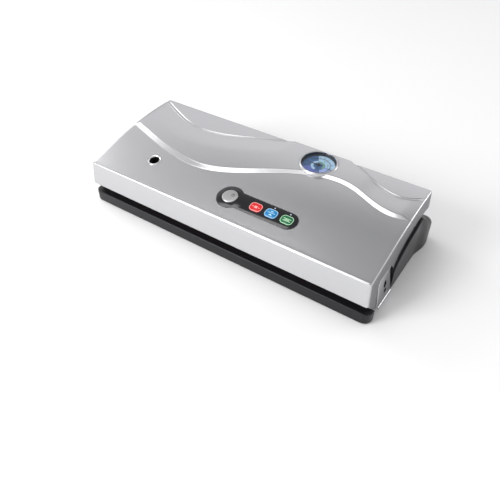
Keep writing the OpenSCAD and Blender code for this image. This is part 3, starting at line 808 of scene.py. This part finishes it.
def base_width(y):
    """Half width of the base at y, round front and rear corners included."""
    w = BASE_HALF if y < -55 else WING_HALF + (HIP_HALF - WING_HALF) * ease((y - 40) / 28)
    if y < BASE_FRONT + FRONT_R:
        d = BASE_FRONT + FRONT_R - y
        w -= FRONT_R - math.sqrt(max(0.0, FRONT_R ** 2 - d * d))
    if y > BASE_BACK - BACK_R:
        d = y - (BASE_BACK - BACK_R)
        w -= BACK_R - math.sqrt(max(0.0, BACK_R ** 2 - d * d))
    return w


def base_reach(z):
    """How far out the base's ends may come at height z."""
    return piecewise(((0, HIP_HALF), (28, HIP_HALF), (36, 201.2), (43, 199.8), (49.5, 197.6),
                      (53, 196)), z)


def cheek_top(y):
    """Height of the cheek at each end of the base, close below the lid's edge."""
    if not EAR_BACK < y < 66:
        return 0.0
    points = ((EAR_BACK, 25), (-23.6, 29), (-22.0, 32.4), (-17, 37), (-9, 41.2), (0, 44.2),
              (10, 46.9), (22, 49.3), (34, 51.1), (46, 52.1), (54, 51.6), (59, 49.4), (63.4, 44.8),
              (66, 40))
    return sum(piecewise(points, y + d) for d in (-1.2, -0.4, 0.4, 1.2)) / 4


def base_loft(name, inset, low, round_r, cheeks):
    """Closed loft of the base from cross sections along Y, inset from the outer face.

    Each section runs up one end, over the rounded edge and the cheek, and in to the middle.
    """
    front, back = BASE_FRONT + inset, BASE_BACK - inset
    ys = [front + FRONT_R * (1 - math.cos(math.pi / 2 * i / 12)) for i in range(13)]
    ys += [front + FRONT_R + (EAR_BACK - 0.1 - front - FRONT_R) * i / 12 for i in range(1, 13)]
    ys += [EAR_BACK + 0.1 + (back - BACK_R - EAR_BACK - 0.1) * i / 80 for i in range(80)]
    ys += [back - BACK_R + BACK_R * math.sin(math.pi / 2 * i / 16) for i in range(17)]
    rows = []
    for y in ys:
        outer_y = BASE_FRONT + (y - front) * (BASE_BACK - BASE_FRONT) / (back - front)
        w = base_width(outer_y) - inset
        flat = base_top(outer_y) - inset
        r = min(round_r + 7.5 * ease((y - 48) / 20), (flat - low) * 0.45) if cheeks else 0.0
        nose = min(1.0, (y - front) / round_r) if round_r else 1.0
        flat -= round_r * (1 - math.sqrt(max(0.0, 1 - (1 - nose) ** 2)))
        ridge = max(flat, cheek_top(y)) if cheeks else flat
        inner = min(2.0, (ridge - flat) / 2)
        half = [(min(w, base_reach(low)) - 0.8, low)]
        for k in range(11):
            z = low + 0.8 + (ridge - r - low - 0.8) * k / 10
            half.append((min(w, base_reach(z) - inset), z))
        edge = half[-1][0]
        half += [(edge - r + r * math.cos(a), ridge - r + r * math.sin(a))
                 for a in [math.pi / 2 * k / 6 for k in range(1, 7)]]
        step = min(CHEEK_X, edge - r - 0.6)
        half += [(step + (edge - r - step) * 0.4 + inner * 0.1, ridge)]
        half += [(step + inner * (1 - math.sin(a)), ridge - inner * (1 - math.cos(a)))
                 for a in [math.pi / 2 * k / 4 for k in range(5)]]
        half += [(step, flat)]
        half += [(step * (1 - k / 10), flat) for k in range(1, 11)]
        rows.append([(x, y, z) for x, z in half] + [(-x, y, z) for x, z in reversed(half[:-1])])
    verts = [p for row in rows for p in row]
    n = len(rows[0])
    faces = []
    for j in range(len(rows) - 1):
        for i in range(n):
            k = (i + 1) % n
            faces.append((j * n + i, j * n + k, (j + 1) * n + k, (j + 1) * n + i))
    faces.append(tuple(range(n)))
    faces.append(tuple(range(len(verts) - 1, len(verts) - n - 1, -1)))
    return obj_from(name, verts, faces, 180)


def at_both_ends(x0, x1, y0, y1, z0, z1):
    """A box-shaped cutting tool at each end of the base."""
    return [block("tool", (min(s * x0, s * x1), y0, z0), (max(s * x0, s * x1), y1, z1))
            for s in (1, -1)]


def build_base():
    """The black base: loft with its well, latch recesses, strike pockets and inlet hole."""
    skin = base_loft("base_skin", 0, BASE_LOW, 1.2, True)
    cover_pocket = base_loft("tool", 2.7, BASE_LOW - 3, 0, False)
    keep = block("keep", (-220, -120, BASE_LOW + 2.1), (220, 120, 60))
    applied(cover_pocket, ("BOOLEAN", {"operation": "DIFFERENCE", "object": keep,
                                       "solver": "EXACT"}))
    bpy.data.objects.remove(keep)
    deck_well = block("tool", (-178.2, -71.7, 5), (178.2, -4.8, 70))
    ears = at_both_ends(EAR_X, 215, -75, EAR_BACK, -5, 70)
    pockets = at_both_ends(189.2, 215, -54.2, -33.8, 8, 12.95)
    inlet_hole = block("tool", (-165.2, 70, 6.8), (-140.8, 99, 19.2))
    cut(skin, cover_pocket, deck_well, *ears, *pockets, inlet_hole, angle=38)
    dress(skin, black_plastic, "base", ["lower_housing"])


build_base()


# ---------------------------------------------------------------- stage, lights, camera
def build_stage():
    """Pale floor, a soft world that is brighter low down and to the left, and soft lamps."""
    bpy.ops.mesh.primitive_plane_add(size=8)
    floor = bpy.context.object
    floor.name = "studio_floor"
    floor.data.materials.append(shader("floor_white", (0.88, 0.88, 0.88), 0.8, vary=0.004, scale=3))
    scene = bpy.context.scene
    scene.view_settings.view_transform = "Standard"
    world = bpy.data.worlds.new("studio")
    scene.world = world
    world.use_nodes = True
    tree = world.node_tree
    sky = tree.nodes["Background"]
    sky.inputs["Strength"].default_value = 2.0
    coord = tree.nodes.new("ShaderNodeTexCoord")
    split = tree.nodes.new("ShaderNodeSeparateXYZ")
    ramp = tree.nodes.new("ShaderNodeValToRGB")
    tree.links.new(coord.outputs["Generated"], split.inputs["Vector"])
    side = tree.nodes.new("ShaderNodeMapRange")
    mix = tree.nodes.new("ShaderNodeVectorMath")
    mix.operation = "SCALE"
    tree.links.new(split.outputs["Z"], ramp.inputs["Fac"])
    tree.links.new(split.outputs["X"], side.inputs["Value"])
    side.inputs["From Min"].default_value = -0.2
    side.inputs["From Max"].default_value = 0.8
    side.inputs["To Min"].default_value = 1.0
    side.inputs["To Max"].default_value = 0.8
    tree.links.new(ramp.outputs["Color"], mix.inputs["Vector"])
    tree.links.new(side.outputs["Result"], mix.inputs["Scale"])
    tree.links.new(mix.outputs["Vector"], sky.inputs["Color"])
    stops = ramp.color_ramp.elements
    stops[0].position, stops[0].color = 0.0, (0.52, 0.52, 0.52, 1)
    stops[1].position, stops[1].color = 1.0, (0.4, 0.4, 0.4, 1)
    for place, level in ((0.3, 0.56), (0.5, 0.52), (0.62, 0.46), (0.7, 0.34), (0.78, 0.19),
                         (0.88, 0.125), (0.96, 0.2)):
        stops.new(place).color = (level, level, level * 1.01, 1)
    lamps = (("key", (-0.9, -1.6, 1.0), (0.9, 0.9), 31), ("top", (-0.8, -0.4, 2.4), (1.9, 1.0), 15),
             ("rim", (1.45, 1.6, 0.75), (0.8, 0.5), 5), ("left", (-2.0, 0.3, 1.2), (0.7, 0.7), 6))
    for name, place, size, power in lamps:
        data = bpy.data.lights.new(name, "AREA")
        data.shape = "RECTANGLE"
        data.size, data.size_y = size
        data.energy = power
        lamp = bpy.data.objects.new(name, data)
        lamp.location = place
        aim = Vector((0, 0, 0.03)) - Vector(place)
        lamp.rotation_euler = aim.to_track_quat("-Z", "Y").to_euler()
        scene.collection.objects.link(lamp)


def build_camera():
    """Camera at the photograph's viewing angle."""
    data = bpy.data.cameras.new("camera")
    data.lens = 39.37
    data.sensor_width = 36
    cam = bpy.data.objects.new("camera", data)
    azimuth, elevation = math.radians(34.113), math.radians(42.663)
    back = Vector((math.sin(azimuth) * math.cos(elevation),
                   -math.cos(azimuth) * math.cos(elevation), math.sin(elevation)))
    cam.location = Vector((303.7, -461.3, 450.4)) * MM
    cam.rotation_euler = (-back).to_track_quat("-Z", "Y").to_euler()
    bpy.context.scene.collection.objects.link(cam)
    bpy.context.scene.camera = cam


build_stage()
build_camera()
